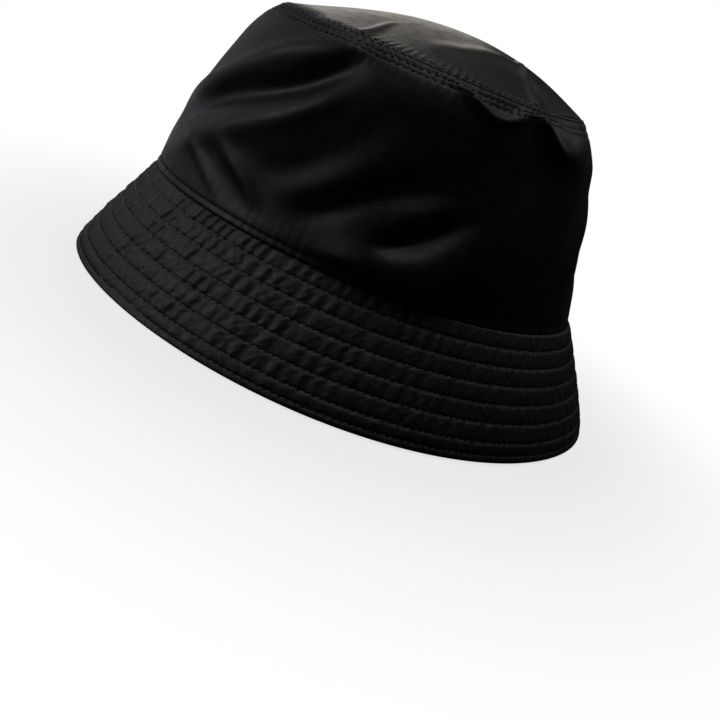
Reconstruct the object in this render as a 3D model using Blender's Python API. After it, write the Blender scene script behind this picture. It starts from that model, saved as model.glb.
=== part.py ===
"""Bucket hat: lined crown, stitched brim, sweatband and thread rows, each its own closed solid.

The hat stands on its brim edge at z = 0. The wearer faces -Y, their left is +X, and +Z is up.
Every level of the hat is an oval ring, and the cloth layers are rings set in from the outer
face by the layers and gaps outside them.
"""

import math

import bmesh
import bpy
from mathutils import Vector

# Oval levels: half sizes, and how far each level sits forward of the brim edge.
BRIM_HALF_LENGTH = 0.1272
BRIM_HALF_WIDTH = 0.1146
FOOT_HALF_LENGTH = 0.1012
FOOT_HALF_WIDTH = 0.0873
FOOT_FORWARD = 0.0026
TIP_HALF_LENGTH = 0.0683
TIP_HALF_WIDTH = 0.0588
TIP_FORWARD = 0.0069
OVAL_POINT = 0.012  # how much the ovals draw in on their diagonals

# Heights, from the brim edge up.
BRIM_HEIGHT = 0.0446
CROWN_HEIGHT = 0.0806
DOME_HEIGHT = 0.0165
CROWN_FULLNESS = 0.0075  # how far the crown side swells past a straight cone
CROWN_SQUARENESS = 3.4  # higher keeps the swell full nearer to the foot and the tip seam
DOME_SQUARENESS = 2.4  # higher makes the dome flatter on top and steeper at its rim
SWEATBAND_HEIGHT = 0.0320

# Thicknesses.
CLOTH = 0.0005
INTERLINING = 0.0005
LINING = 0.0004
SWEATBAND = 0.0008
THREAD_HALF_WIDTH = 0.0002
THREAD_HEIGHT = 0.0003

# Clearances.
LAYER_GAP = 0.0003  # between cloth layers, and at every seam
THREAD_GAP = 0.0003  # between a thread row and the cloth it lies on

# Stitch rows, as distances along the cloth.
BRIM_ROWS = 6
EDGE_ROW_INSET = 0.0025
FOOT_ROW_INSET = 0.0022
TIP_ROW_INSET = 0.0022
SIDE_ROW_INSETS = (0.0024, 0.0044)
BACK_ROW_INSET = 0.0022
BACK_ROW_END_GAP = 0.0025
BAND_ROW_INSET = 0.0020

SEGMENTS = 60  # straight steps in every ring
BACK_TURN = 0.25  # the centre back, as a share of a turn from +X
SIDE_STEPS = 6  # straight steps up the crown side
DOME_LEVELS = 5  # rings across the dome
NUDGE = 0.001  # step along a surface for measuring its direction
SHARP_ANGLE = math.radians(40)  # edges sharper than this are not shaded smooth

BLACK_CLOTH = (0.012, 0.012, 0.014)
LINING_CLOTH = (0.020, 0.020, 0.022)
BAND_CLOTH = (0.015, 0.015, 0.017)
STIFFENER = (0.35, 0.35, 0.34)
THREAD = (0.030, 0.030, 0.033)


def clear_scene():
    for old in list(bpy.data.objects):
        bpy.data.objects.remove(old, do_unlink=True)


def mix(a, b, t):
    return a + (b - a) * t


def oval(turn, half_width, half_length, forward, z):
    """A point of an oval level; turn runs from 0 at +X through the back at +Y."""
    angle = 2 * math.pi * turn
    reach = 1 + OVAL_POINT * math.cos(4 * angle) - OVAL_POINT
    return Vector((
        half_width * math.cos(angle) * reach,
        half_length * math.sin(angle) * reach - forward,
        z,
    ))


def outward(level, turn, up):
    """The level outward direction of a surface at one turn."""
    ahead = level(turn + NUDGE, up) - level(turn - NUDGE, up)
    return Vector((ahead.y, -ahead.x, 0)).normalized()


def lean(level, turn, up):
    """Level distance for one unit of distance square to the surface."""
    climb = level(turn, up + NUDGE) - level(turn, up - NUDGE)
    return math.hypot(1, climb.dot(outward(level, turn, up)) / climb.z)


def brim_level(turn, up):
    """The brim's outer face: up is 0 at the edge and 1 at the crown's foot."""
    return oval(
        turn,
        mix(BRIM_HALF_WIDTH, FOOT_HALF_WIDTH, up),
        mix(BRIM_HALF_LENGTH, FOOT_HALF_LENGTH, up),
        FOOT_FORWARD * up,
        BRIM_HEIGHT * up,
    )


def side_curve(turn, up):
    """The crown side's swelling curve: up is 0 at its foot and 1 at the tip seam."""
    swell = CROWN_FULLNESS * (1 - abs(2 * up - 1) ** CROWN_SQUARENESS)
    return oval(
        turn,
        mix(FOOT_HALF_WIDTH, TIP_HALF_WIDTH, up) + swell,
        mix(FOOT_HALF_LENGTH, TIP_HALF_LENGTH, up) + swell,
        mix(FOOT_FORWARD, TIP_FORWARD, up),
        BRIM_HEIGHT + CROWN_HEIGHT * up,
    )


def side_level(turn, up):
    """The crown side's outer face, in straight steps that every layer shares."""
    step = max(0, min(math.floor(up * SIDE_STEPS), SIDE_STEPS - 1))
    low = side_curve(turn, step / SIDE_STEPS)
    high = side_curve(turn, (step + 1) / SIDE_STEPS)
    return low.lerp(high, up * SIDE_STEPS - step)


def dome_level(turn, across):
    """The tip's outer face: across is 0 at the apex and 1 at the tip seam."""
    rise = DOME_HEIGHT * (1 - across ** DOME_SQUARENESS)
    return oval(
        turn,
        TIP_HALF_WIDTH * across,
        TIP_HALF_LENGTH * across,
        TIP_FORWARD,
        BRIM_HEIGHT + CROWN_HEIGHT + CLOTH + rise,
    )


def brim_slant():
    """The brim's length down the cloth at its side."""
    return math.hypot(BRIM_HALF_WIDTH - FOOT_HALF_WIDTH, BRIM_HEIGHT)


def make_material(name, colour, roughness):
    material = bpy.data.materials.new(name)
    material.use_nodes = True
    shader = material.node_tree.nodes["Principled BSDF"]
    shader.inputs["Base Color"].default_value = (*colour, 1)
    shader.inputs["Roughness"].default_value = roughness
    shader.inputs["Metallic"].default_value = 0.0
    return material


def add_piece(name, rings, closed_section, colour, roughness):
    """One solid from rings of points. A closed section joins the last ring to the first;
    otherwise the two end rings are capped."""
    shape = bmesh.new()
    rows = [[shape.verts.new(point) for point in ring] for ring in rings]
    pairs = list(zip(rows, rows[1:]))
    if closed_section:
        pairs.append((rows[-1], rows[0]))
    else:
        shape.faces.new(rows[0])
        shape.faces.new(rows[-1])
    for row, following in pairs:
        # Every diagonal climbs the same way, so that layers which twist still nest.
        bottom, top = sorted((row, following), key=lambda ring: ring[0].co.z)
        for i, corner in enumerate(bottom):
            after = (i + 1) % len(bottom)
            shape.faces.new((corner, bottom[after], top[after]))
            shape.faces.new((corner, top[after], top[i]))
    bmesh.ops.recalc_face_normals(shape, faces=shape.faces)
    mesh = bpy.data.meshes.new(name)
    shape.to_mesh(mesh)
    shape.free()
    mesh.shade_smooth()
    mesh.set_sharp_from_angle(angle=SHARP_ANGLE)
    mesh.materials.append(make_material(name, colour, roughness))
    piece = bpy.data.objects.new(name, mesh)
    bpy.context.collection.objects.link(piece)
    return piece


def ring_around(level, up, inset):
    """A ring set in from a surface's outer face, by a distance square to the surface."""
    ring = []
    for i in range(SEGMENTS):
        turn = i / SEGMENTS
        reach = inset * lean(level, turn, up) if inset else 0
        ring.append(level(turn, up) - outward(level, turn, up) * reach)
    return ring


def wall(level, ups, outer, thickness):
    """The rings round a closed wall section: up its outer face and down its inner one."""
    outside = [ring_around(level, up, outer) for up in ups]
    inside = [ring_around(level, up, outer + thickness) for up in reversed(ups)]
    return outside + inside


def brim_ups(clear_of_edge):
    """The two ends of a brim layer that starts this far above the brim edge."""
    return (clear_of_edge / BRIM_HEIGHT, 1.0)


def brim_upper():
    """Outer brim cloth, with its edge turned under the layers inside it."""
    stack = CLOTH + INTERLINING + CLOTH + 2 * LAYER_GAP
    lip = CLOTH / BRIM_HEIGHT
    section = ((0, 0), (1, 0), (1, CLOTH), (lip, CLOTH), (lip, stack), (0, stack))
    rings = [ring_around(brim_level, up, inset) for up, inset in section]
    return add_piece("brim_upper", rings, True, BLACK_CLOTH, 0.5)


def brim_interlining():
    """Stiff layer between the two brim cloths."""
    ups = brim_ups(CLOTH + LAYER_GAP)
    rings = wall(brim_level, ups, CLOTH + LAYER_GAP, INTERLINING)
    return add_piece("brim_interlining", rings, True, STIFFENER, 0.9)


def brim_under():
    """Cloth on the brim's underside."""
    ups = brim_ups(CLOTH + LAYER_GAP)
    outer = CLOTH + INTERLINING + 2 * LAYER_GAP
    rings = wall(brim_level, ups, outer, CLOTH)
    return add_piece("brim_under", rings, True, BLACK_CLOTH, 0.5)


def side_ups(low, high):
    """Levels up the crown side from a distance above its foot to one below the tip seam."""
    start = low / CROWN_HEIGHT
    stop = 1 - high / CROWN_HEIGHT
    steps = [i / SIDE_STEPS for i in range(SIDE_STEPS + 1)]
    return [start, *[step for step in steps if start < step < stop], stop]


def crown_side():
    """Side band of the crown, closed at the centre back."""
    rings = wall(side_level, side_ups(LAYER_GAP, LAYER_GAP), 0, CLOTH)
    return add_piece("crown_side", rings, True, BLACK_CLOTH, 0.45)


def lining_side():
    """Lining of the side band, hanging just inside it."""
    ups = side_ups(LAYER_GAP, LINING + 2 * LAYER_GAP)
    rings = wall(side_level, ups, CLOTH + LAYER_GAP, LINING)
    return add_piece("lining_side", rings, True, LINING_CLOTH, 0.6)


def dome_plate(name, inset, thickness, colour, roughness):
    """A domed oval plate, set in and down from the tip's outer face."""
    shares = [(i + 1) / DOME_LEVELS for i in range(DOME_LEVELS)]
    trim = 1 - inset / TIP_HALF_WIDTH
    faces = []
    for depth in (inset, inset + thickness):
        lowered = Vector((0, 0, -depth))
        faces.append([
            [point + lowered for point in ring_around(dome_level, share * trim, 0)]
            for share in shares
        ])
    rings = faces[0] + faces[1][::-1]
    return add_piece(name, rings, False, colour, roughness)


def crown_tip():
    """Domed top panel."""
    return dome_plate("crown_tip", 0, CLOTH, BLACK_CLOTH, 0.45)


def lining_tip():
    """Lining of the top panel."""
    return dome_plate("lining_tip", CLOTH + LAYER_GAP, LINING, LINING_CLOTH, 0.6)


def sweatband():
    """Band round the inside of the crown's foot, where the head bears."""
    ups = side_ups(LAYER_GAP, CROWN_HEIGHT - SWEATBAND_HEIGHT)
    outer = CLOTH + LINING + 2 * LAYER_GAP
    rings = wall(side_level, ups, outer, SWEATBAND)
    return add_piece("sweatband", rings, True, BAND_CLOTH, 0.8)


def thread_row(name, level, up, cloth_length, base, top):
    """A thread ring along a surface: a three-sided tube, from inset base to inset top."""
    half = THREAD_HALF_WIDTH / cloth_length
    section = ((up - half, base), (up + half, base), (up, top))
    rings = [ring_around(level, share, inset) for share, inset in section]
    return add_piece(name, rings, True, THREAD, 0.6)


def outer_row(name, level, up, cloth_length, gap):
    """A thread ring on a surface's outer face."""
    return thread_row(name, level, up, cloth_length, -gap, -(gap + THREAD_HEIGHT))


def brim_rows():
    """Evenly spaced rows on the brim, and one row close to its edge."""
    slant = brim_slant()
    for row in range(BRIM_ROWS):
        up = 1 - (row + 1) / (BRIM_ROWS + 1)
        outer_row(f"brim_stitch_{row + 1}", brim_level, up, slant, THREAD_GAP)
    outer_row("brim_edge_stitch", brim_level, EDGE_ROW_INSET / slant, slant, THREAD_GAP)


def side_rows():
    """One row above the crown's foot and two below the tip seam."""
    gap = THREAD_GAP + THREAD_HALF_WIDTH
    foot_up = FOOT_ROW_INSET / CROWN_HEIGHT
    outer_row("foot_stitch", side_level, foot_up, CROWN_HEIGHT, gap)
    for number, inset in enumerate(SIDE_ROW_INSETS):
        up = 1 - inset / CROWN_HEIGHT
        outer_row(f"side_stitch_{number + 1}", side_level, up, CROWN_HEIGHT, gap)


def tip_row():
    """One row on the top panel, inside the tip seam."""
    across = 1 - TIP_ROW_INSET / TIP_HALF_WIDTH
    half = THREAD_HALF_WIDTH / TIP_HALF_WIDTH
    base = THREAD_GAP + THREAD_HALF_WIDTH
    section = ((across - half, base), (across + half, base), (across, base + THREAD_HEIGHT))
    rings = [
        [point + Vector((0, 0, lift)) for point in ring_around(dome_level, share, 0)]
        for share, lift in section
    ]
    return add_piece("tip_stitch", rings, True, THREAD, 0.6)


def band_row():
    """Row that holds the sweatband's lower edge, on its inner face."""
    base = CLOTH + LINING + SWEATBAND + 2 * LAYER_GAP + THREAD_GAP
    up = BAND_ROW_INSET / CROWN_HEIGHT
    top = base + THREAD_HEIGHT
    return thread_row("sweatband_stitch", side_level, up, CROWN_HEIGHT, base, top)


def back_rows():
    """A row on each side of the centre-back seam, between the foot and side rows."""
    low = FOOT_ROW_INSET + BACK_ROW_END_GAP
    high = max(SIDE_ROW_INSETS) + BACK_ROW_END_GAP
    across = Vector((THREAD_HALF_WIDTH, 0, 0))
    for name, side in (("back_stitch_left", 1), ("back_stitch_right", -1)):
        rings = []
        for up in side_ups(low, high):
            out = outward(side_level, BACK_TURN, up)
            base = side_level(BACK_TURN, up) + out * (THREAD_GAP + 2 * THREAD_HALF_WIDTH)
            base.x += side * BACK_ROW_INSET
            rings.append([base - across, base + across, base + out * THREAD_HEIGHT])
        add_piece(name, rings, False, THREAD, 0.6)


def main():
    clear_scene()
    crown_tip()
    crown_side()
    brim_upper()
    brim_interlining()
    brim_under()
    lining_tip()
    lining_side()
    sweatband()
    tip_row()
    side_rows()
    back_rows()
    brim_rows()
    band_row()


main()
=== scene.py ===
import math

import bpy
import numpy as np
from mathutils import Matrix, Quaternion, Vector


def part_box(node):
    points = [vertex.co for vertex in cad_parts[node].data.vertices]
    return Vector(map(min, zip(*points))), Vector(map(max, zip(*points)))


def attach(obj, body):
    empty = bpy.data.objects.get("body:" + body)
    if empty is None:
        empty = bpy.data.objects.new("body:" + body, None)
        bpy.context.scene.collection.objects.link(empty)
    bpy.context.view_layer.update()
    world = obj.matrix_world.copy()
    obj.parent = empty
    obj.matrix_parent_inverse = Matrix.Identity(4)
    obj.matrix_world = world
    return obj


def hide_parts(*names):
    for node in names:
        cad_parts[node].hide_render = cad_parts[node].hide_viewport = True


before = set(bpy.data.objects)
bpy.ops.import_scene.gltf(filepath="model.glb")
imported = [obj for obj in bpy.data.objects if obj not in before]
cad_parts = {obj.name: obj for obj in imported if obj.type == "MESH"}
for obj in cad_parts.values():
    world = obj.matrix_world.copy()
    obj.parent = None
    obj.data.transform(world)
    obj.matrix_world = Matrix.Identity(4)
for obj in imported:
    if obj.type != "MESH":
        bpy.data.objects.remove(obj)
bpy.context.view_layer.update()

scene = bpy.context.scene
scene.view_settings.view_transform = "Standard"
tau = 2 * math.pi

# the hat's level ovals are half width, half length and how far forward the oval sits, all in metres
hat = {
    "brimEdge": (0.1146, 0.1272, 0.0),
    "foot": (0.0873, 0.1012, 0.0026),
    "tipSeam": (0.0588, 0.0683, 0.0069),
    "ovalPoint": 0.012,
    "footHeight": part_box("crown_side")[0].z,
    "seamHeight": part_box("crown_side")[1].z,
    "brimSlant": 0.0521,  # from the edge up to the foot, along the cloth
    "crownSlant": 0.0860,
    "tipRadius": 0.0640,
    "strokeSteps": 30,  # points along each drawn fold
}


def mix(first, second, share):
    return first + (second - first) * share


def ease(low, high, value):
    share = np.clip((value - low) / (high - low), 0, 1)
    return share * share * (3 - 2 * share)


def bump(value, centre, width):
    return np.exp(-(((value - centre) / width) ** 2))


# a smooth line through (place, height) points
def softCurve(value, knots):
    at, height = np.array(knots, float).T
    slope = np.gradient(height, at)
    value = np.clip(value, at[0], at[-1])
    cell = np.clip(np.searchsorted(at, value, side="right") - 1, 0, len(at) - 2)
    span = at[cell + 1] - at[cell]
    s = (value - at[cell]) / span
    start = (2 * s**3 - 3 * s**2 + 1) * height[cell] + (s**3 - 2 * s**2 + s) * span * slope[cell]
    end = (3 * s**2 - 2 * s**3) * height[cell + 1] + (s**3 - s**2) * span * slope[cell + 1]
    return start + end


# uneven waves that close round the hat, mostly between -1 and 1
def ripple(turn, waves, seed, spread=0.35, parts=5):
    dice = np.random.default_rng(seed)
    total = 0
    for part in range(parts):
        count = round(waves * dice.uniform(1 - spread, 1 + spread))
        total = total + np.sin(tau * (count * turn + dice.random()))
    return np.tanh(0.6 * total / math.sqrt(parts / 2)) / 0.8


def degreesFrom(turn, degrees):
    return (turn * 360 - degrees + 180) % 360 - 180


# folds drawn as soft ridges (lift above 0) and hollows (lift below 0) along points of degrees and height;
# girth is the radius that turns degrees into metres, and tall is the height of a whole share
def drawFolds(turn, up, folds, girth, tall):
    turn, up = np.broadcast_arrays(turn, up)
    lift = np.zeros(turn.shape)
    steps = hat["strokeSteps"]
    for path, width, height in folds:
        points = np.array(path, float)
        middle = points[:, 0].mean()
        places = np.linspace(0, len(points) - 1, steps)
        along = np.radians(softCurve(places, list(enumerate(points[:, 0])))) * girth
        above = softCurve(places, list(enumerate(points[:, 1]))) * tall
        gap = np.hypot(np.diff(along), np.diff(above)).mean()
        taper = np.sin(np.pi * np.linspace(0.04, 0.96, steps)) ** 0.75
        x = np.radians(degreesFrom(turn, middle) + middle) * girth
        y = up * tall
        near = (np.abs(x - along.mean()) < np.ptp(along) / 2 + 3 * width)
        near &= np.abs(y - above.mean()) < np.ptp(above) / 2 + 3 * width
        square = (x[near][:, None] - along) ** 2 + (y[near][:, None] - above) ** 2
        lift[near] += height * (np.exp(-square / width**2) @ taper) * gap / (width * math.sqrt(math.pi))
    return lift


def oval(turn, size, height):
    halfWidth, halfLength, forward = size
    angle = tau * turn
    reach = 1 + hat["ovalPoint"] * (np.cos(4 * angle) - 1)
    x = halfWidth * np.cos(angle) * reach
    y = halfLength * np.sin(angle) * reach - forward
    return np.stack(np.broadcast_arrays(x, y, height), -1)


def between(low, high, share):
    return [mix(first, second, share) for first, second in zip(low, high)]


# how far back a point is: 0 at the front, 1 at the centre back
def backness(turn):
    return (0.5 + 0.5 * np.sin(tau * turn)) ** 2


# outward and upward directions of a surface
def facing(surface, turn, up, step=2e-4):
    around = surface(turn + step, up) - surface(turn - step, up)
    along = surface(turn, up + step) - surface(turn, up - step)
    outward = np.cross(around, along)
    outward /= np.linalg.norm(outward, axis=-1, keepdims=True)
    along = along / np.linalg.norm(along, axis=-1, keepdims=True)
    return outward, along


# rings of a piece; each row is height share, depth under the skin, share of the relief, drop past the row
def layRings(base, lift, turns, rows):
    up, sink, relief, drop = [np.array(column, float)[:, None] for column in zip(*rows)]
    turns = turns[None, :]
    outward, along = facing(base, turns, up)
    rise = relief * lift(turns, up) - sink
    return base(turns, up) + outward * rise[..., None] - along * drop[..., None]


# a closed shell of cloth from its rings; a tip has one pole after its outer rings and another before
# its inner ones. The cloth's own metres go to a UV map: round and down a band, or flat across a tip
def clothMesh(name, rings, girth=None, poleAfter=None):
    count, around = rings.shape[:2]
    points = rings.reshape(-1, 3)
    step = np.linalg.norm(np.diff(rings, axis=0, append=rings[:1]), axis=-1).mean(1)
    down = np.concatenate([[0], np.cumsum(step)])
    j = np.arange(around)
    after = (j + 1) % around
    quads = []
    corners = []
    for i in range(count):
        if poleAfter is not None and i == poleAfter:
            continue
        low = i * around
        high = ((i + 1) % count) * around
        quad = np.stack([low + j, low + after, high + after, high + j], 1)
        quads.append(quad)
        if girth is None:
            corners.append(points[quad][..., :2])
        else:
            u = np.stack([j, j + 1, j + 1, j], 1) * girth / around
            v = np.array([down[i], down[i], down[i + 1], down[i + 1]])[None, :].repeat(around, 0)
            corners.append(np.stack([u, v], -1))
    quads = np.concatenate(quads)
    corners = np.concatenate(corners).reshape(-1, 2)
    faces = quads.tolist()
    if poleAfter is not None:
        poles = rings[poleAfter : poleAfter + 2].mean(1)
        first = len(points)
        points = np.concatenate([points, poles])
        outer = poleAfter * around
        inner = outer + around
        fan = np.stack([outer + j, outer + after, np.full(around, first)], 1)
        back = np.stack([inner + after, inner + j, np.full(around, first + 1)], 1)
        triangles = np.concatenate([fan, back])
        faces += triangles.tolist()
        corners = np.concatenate([corners, points[triangles][..., :2].reshape(-1, 2)])
    mesh = bpy.data.meshes.new(name)
    mesh.from_pydata(points.tolist(), [], faces)
    mesh.uv_layers.new(name="cloth").data.foreach_set("uv", corners.astype(np.float32).ravel())
    mesh.shade_smooth()
    mesh.validate()
    piece = bpy.data.objects.new(name, mesh)
    scene.collection.objects.link(piece)
    print("made", name, len(mesh.polygons), "faces")
    return piece


def turnsOf(count):
    return np.arange(count) / count


# rows of a thin layer: along one face and back along the other
def layerRows(ups, depth, otherDepth):
    return [(up, depth, 1, 0) for up in ups] + [(up, otherDepth, 1, 0) for up in ups[::-1]]


# the hat stands level, so the camera is rolled to show it tipped back
camera = {
    "place": (0.3884, -0.0723, 0.1256),
    "looksAt": (0.0, 0.0150, -0.0137),
    "roll": 23.58,
    "lens": 42.92,
}


def makeCamera():
    lens = bpy.data.cameras.new("camera")
    lens.lens = camera["lens"]
    lens.sensor_width = 36
    lens.clip_start = 0.01
    eye = bpy.data.objects.new("camera", lens)
    eye.location = camera["place"]
    aim = Vector(camera["looksAt"]) - Vector(camera["place"])
    turned = aim.to_track_quat("-Z", "Y") @ Quaternion((0, 0, 1), math.radians(camera["roll"]))
    eye.rotation_euler = turned.to_euler()
    scene.collection.objects.link(eye)
    scene.camera = eye


makeCamera()
print("camera set")


# an input is a value, an output socket, or a node that stands for its first output
def addNode(tree, kind, inputs=None, **settings):
    made = tree.nodes.new(kind)
    for name, value in settings.items():
        setattr(made, name, value)
    for name, value in (inputs or {}).items():
        value = value.outputs[0] if isinstance(value, bpy.types.Node) else value
        if isinstance(value, bpy.types.NodeSocket):
            tree.links.new(value, made.inputs[name])
        else:
            made.inputs[name].default_value = value
    return made


def calculate(tree, operation, first, second=0.0, third=0.0):
    inputs = {0: first, 1: second, 2: third}
    return addNode(tree, "ShaderNodeMath", inputs, operation=operation).outputs[0]


def remap(tree, value, before, after=(0.0, 1.0), kind="LINEAR"):
    inputs = {0: value, 1: before[0], 2: before[1], 3: after[0], 4: after[1]}
    return addNode(tree, "ShaderNodeMapRange", inputs, interpolation_type=kind).outputs[0]


def blend(tree, share, dark, light):
    inputs = {"Factor": share, 6: (*dark, 1), 7: (*light, 1)}
    return addNode(tree, "ShaderNodeMix", inputs, data_type="RGBA").outputs[2]


def noise(tree, place, scale, detail, roughness=0.5):
    inputs = {"Vector": place, "Scale": scale, "Detail": detail, "Roughness": roughness}
    return addNode(tree, "ShaderNodeTexNoise", inputs).outputs[0]


def newGroup(treeKind, name, inputs, outputs):
    group = bpy.data.node_groups.new(name, treeKind)
    for label, kind, value in inputs:
        socket = group.interface.new_socket(label, in_out="INPUT", socket_type=kind)
        if value is not None:
            socket.default_value = value
    for label, kind in outputs:
        group.interface.new_socket(label, in_out="OUTPUT", socket_type=kind)
    return group, addNode(group, "NodeGroupInput").outputs, addNode(group, "NodeGroupOutput").inputs


# how closely the lines waver and the yarns vary, per metre, and how far the lines lean
weaving = {
    "waver": 380.0,
    "lineSlant": 0.6,
    "yarnAcross": 2600.0,
    "yarnAlong": 260.0,
}


# slanted twill lines with uneven yarns, in the cloth's own metres; the tone output is the yarns' uneven
# tone together with painted shade and sheen, lighter where the twill lines and yarns stand up and darker
# in the grooves between them
def twillGroup():
    group, given, result = newGroup(
        "ShaderNodeTree", "twillWeave",
        [
            ("Cloth", "NodeSocketVector", None),
            ("Line Spacing", "NodeSocketFloat", 0.0006),
            ("Unevenness", "NodeSocketFloat", 0.5),
        ],
        [("Height", "NodeSocketFloat"), ("Yarn Tone And Painted Shade", "NodeSocketFloat")],
    )
    place = given["Cloth"]
    parts = addNode(group, "ShaderNodeSeparateXYZ", {0: place}).outputs
    density = calculate(group, "DIVIDE", 1.0, given["Line Spacing"])
    coarse = noise(group, place, weaving["waver"], 2.0, 0.6)
    slanted = calculate(group, "MULTIPLY_ADD", parts["Y"], weaving["lineSlant"], parts["X"])
    lines = calculate(group, "MULTIPLY", slanted, density)
    wander = calculate(group, "MULTIPLY", coarse, given["Unevenness"])
    phase = calculate(group, "MULTIPLY", calculate(group, "ADD", lines, wander), tau)
    twill = calculate(group, "SINE", phase)
    fine, long = weaving["yarnAcross"], weaving["yarnAlong"]
    noises = []
    for scale in ((fine, long, 1.0), (long, fine, 1.0)):
        yarn = addNode(group, "ShaderNodeMapping", {0: place, 3: scale})
        noises.append(noise(group, yarn, 1.0, 1.0))
    yarns = calculate(group, "ADD", *noises)
    height = calculate(group, "MULTIPLY_ADD", twill, 0.25, calculate(group, "MULTIPLY", yarns, 0.5))
    # painted shade and sheen: the colour follows the weave's height, darker in its grooves
    toneAndPaintedShade = calculate(group, "MULTIPLY_ADD", twill, 0.2, calculate(group, "MULTIPLY", yarns, 0.5))
    group.links.new(height, result["Height"])
    group.links.new(toneAndPaintedShade, result["Yarn Tone And Painted Shade"])
    return group


# broad uneven tone and fine crumple of worn cloth, 0 to 1
def wearGroup():
    group, given, result = newGroup(
        "ShaderNodeTree", "clothWear",
        [("Place", "NodeSocketVector", None), ("Patch Size", "NodeSocketFloat", 0.02)],
        [("Patches", "NodeSocketFloat"), ("Crumple", "NodeSocketFloat")],
    )
    density = calculate(group, "DIVIDE", 1.0, given["Patch Size"])
    fine = calculate(group, "MULTIPLY", density, 7.0)
    patches = noise(group, given["Place"], density, 4.0, 0.55)
    crumple = noise(group, given["Place"], fine, 3.0, 0.6)
    group.links.new(patches, result["Patches"])
    group.links.new(crumple, result["Crumple"])
    return group


twillWeave = twillGroup()
clothWear = wearGroup()


def newMaterial(name):
    material = bpy.data.materials.new(name)
    material.use_nodes = True
    return material, material.node_tree, material.node_tree.nodes["Principled BSDF"]


# what cloth and thread share: a colour between dark and light, and their sheen
def setShader(tree, shader, finish, share, roughness, relief):
    colour = blend(tree, share, finish["dark"], finish["light"])
    tree.links.new(colour, shader.inputs["Base Color"])
    tree.links.new(roughness, shader.inputs["Roughness"])
    tree.links.new(relief, shader.inputs["Normal"])
    shader.inputs["Specular IOR Level"].default_value = finish["specular"]
    shader.inputs["Sheen Weight"].default_value = finish["sheen"]


def clothMaterial(name, finish):
    material, tree, shader = newMaterial(name)
    cloth = addNode(tree, "ShaderNodeUVMap", uv_map="cloth")
    place = addNode(tree, "ShaderNodeTexCoord")
    weave = addNode(
        tree, "ShaderNodeGroup",
        {"Cloth": cloth, "Line Spacing": finish["lineSpacing"]}, node_tree=twillWeave,
    )
    wear = addNode(
        tree, "ShaderNodeGroup",
        {"Place": place.outputs["Object"], "Patch Size": finish["patchSize"]}, node_tree=clothWear,
    )
    # the colour mixes the weave's painted shade and sheen with the cloth's random uneven patches
    toneAndPaintedShade = calculate(tree, "MULTIPLY_ADD", weave.outputs["Yarn Tone And Painted Shade"], 0.6, wear.outputs["Patches"])
    share = remap(tree, toneAndPaintedShade, (0.45, 1.15))
    smooth = finish["roughness"] - finish["roughSpread"]
    dull = finish["roughness"] + finish["roughSpread"]
    rough = remap(tree, wear.outputs["Crumple"], (0.3, 0.7), (smooth, dull))
    crumple = addNode(
        tree, "ShaderNodeBump",
        {"Height": wear.outputs["Crumple"], "Distance": finish["crumple"], "Strength": 1.0},
    )
    threads = addNode(
        tree, "ShaderNodeBump",
        {
            "Height": weave.outputs["Height"], "Distance": finish["weaveDepth"],
            "Strength": 1.0, "Normal": crumple,
        },
    )
    setShader(tree, shader, finish, share, rough, threads.outputs[0])
    shader.inputs["Sheen Roughness"].default_value = finish["sheenRoughness"]
    shader.inputs["Sheen Tint"].default_value = (*finish["sheenTint"], 1)
    return material


shellFinish = {
    "dark": (0.0010, 0.0010, 0.0011),
    "light": (0.0030, 0.0030, 0.0033),
    "roughness": 0.42,
    "roughSpread": 0.06,
    "specular": 0.17,
    "sheen": 0.02,
    "sheenRoughness": 0.35,
    "sheenTint": (0.92, 0.95, 1.0),
    "lineSpacing": 0.0006,
    "weaveDepth": 0.00003,
    "crumple": 0.00010,
    "patchSize": 0.030,
}
liningFinish = {
    **shellFinish,
    "dark": (0.010, 0.010, 0.011),
    "light": (0.018, 0.018, 0.020),
    "specular": 0.4,
    "sheen": 0.05,
    "lineSpacing": 0.0004,
    "crumple": 0.00015,
}
bandFinish = {
    **shellFinish,
    "dark": (0.009, 0.009, 0.010),
    "light": (0.017, 0.017, 0.018),
    "roughness": 0.75,
    "specular": 0.2,
    "lineSpacing": 0.0009,
    "weaveDepth": 0.00006,
}
stiffFinish = {
    **shellFinish,
    "dark": (0.02, 0.02, 0.02),
    "light": (0.03, 0.03, 0.03),
    "roughness": 0.85,
    "specular": 0.2,
}
# the shell cloth again, duller and more crumpled where it is quilted
brimFinish = {
    **shellFinish,
    "roughness": 0.55,
    "specular": 0.33,
    "crumple": 0.00032,
    "patchSize": 0.016,
}
crownCloth = clothMaterial("crownCloth", shellFinish)
brimCloth = clothMaterial("brimCloth", brimFinish)
liningCloth = clothMaterial("liningCloth", liningFinish)
bandCloth = clothMaterial("bandCloth", bandFinish)
stiffCloth = clothMaterial("stiffCloth", stiffFinish)


# two plies twisted together, read from the stitch's own lengthwise attribute; the colour is painted
# shade, darker between the plies and lighter on them
def threadMaterial(name, finish):
    material, tree, shader = newMaterial(name)
    strand = addNode(tree, "ShaderNodeAttribute", attribute_name="strand")
    parts = addNode(tree, "ShaderNodeSeparateXYZ", {0: strand.outputs["Vector"]}).outputs
    side = calculate(tree, "ARCTAN2", parts["Z"], parts["Y"])
    bothPlies = calculate(tree, "MULTIPLY", side, 2.0)
    twist = calculate(tree, "MULTIPLY_ADD", parts["X"], finish["twists"] * tau, bothPlies)
    plies = calculate(tree, "SINE", twist)
    # painted shade: darker in the grooves between the plies
    share = remap(tree, plies, (-1.0, 1.0))
    rough = remap(tree, plies, (-1.0, 1.0), finish["roughness"])
    groove = addNode(
        tree, "ShaderNodeBump", {"Height": plies, "Distance": finish["plyDepth"], "Strength": 1.0},
    )
    setShader(tree, shader, finish, share, rough, groove.outputs[0])
    return material


# the brim thread is black, but its colour is painted lighter than the cloth as a painted highlight where
# its gloss catches the light; its dark is the painted shade between the plies
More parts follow.
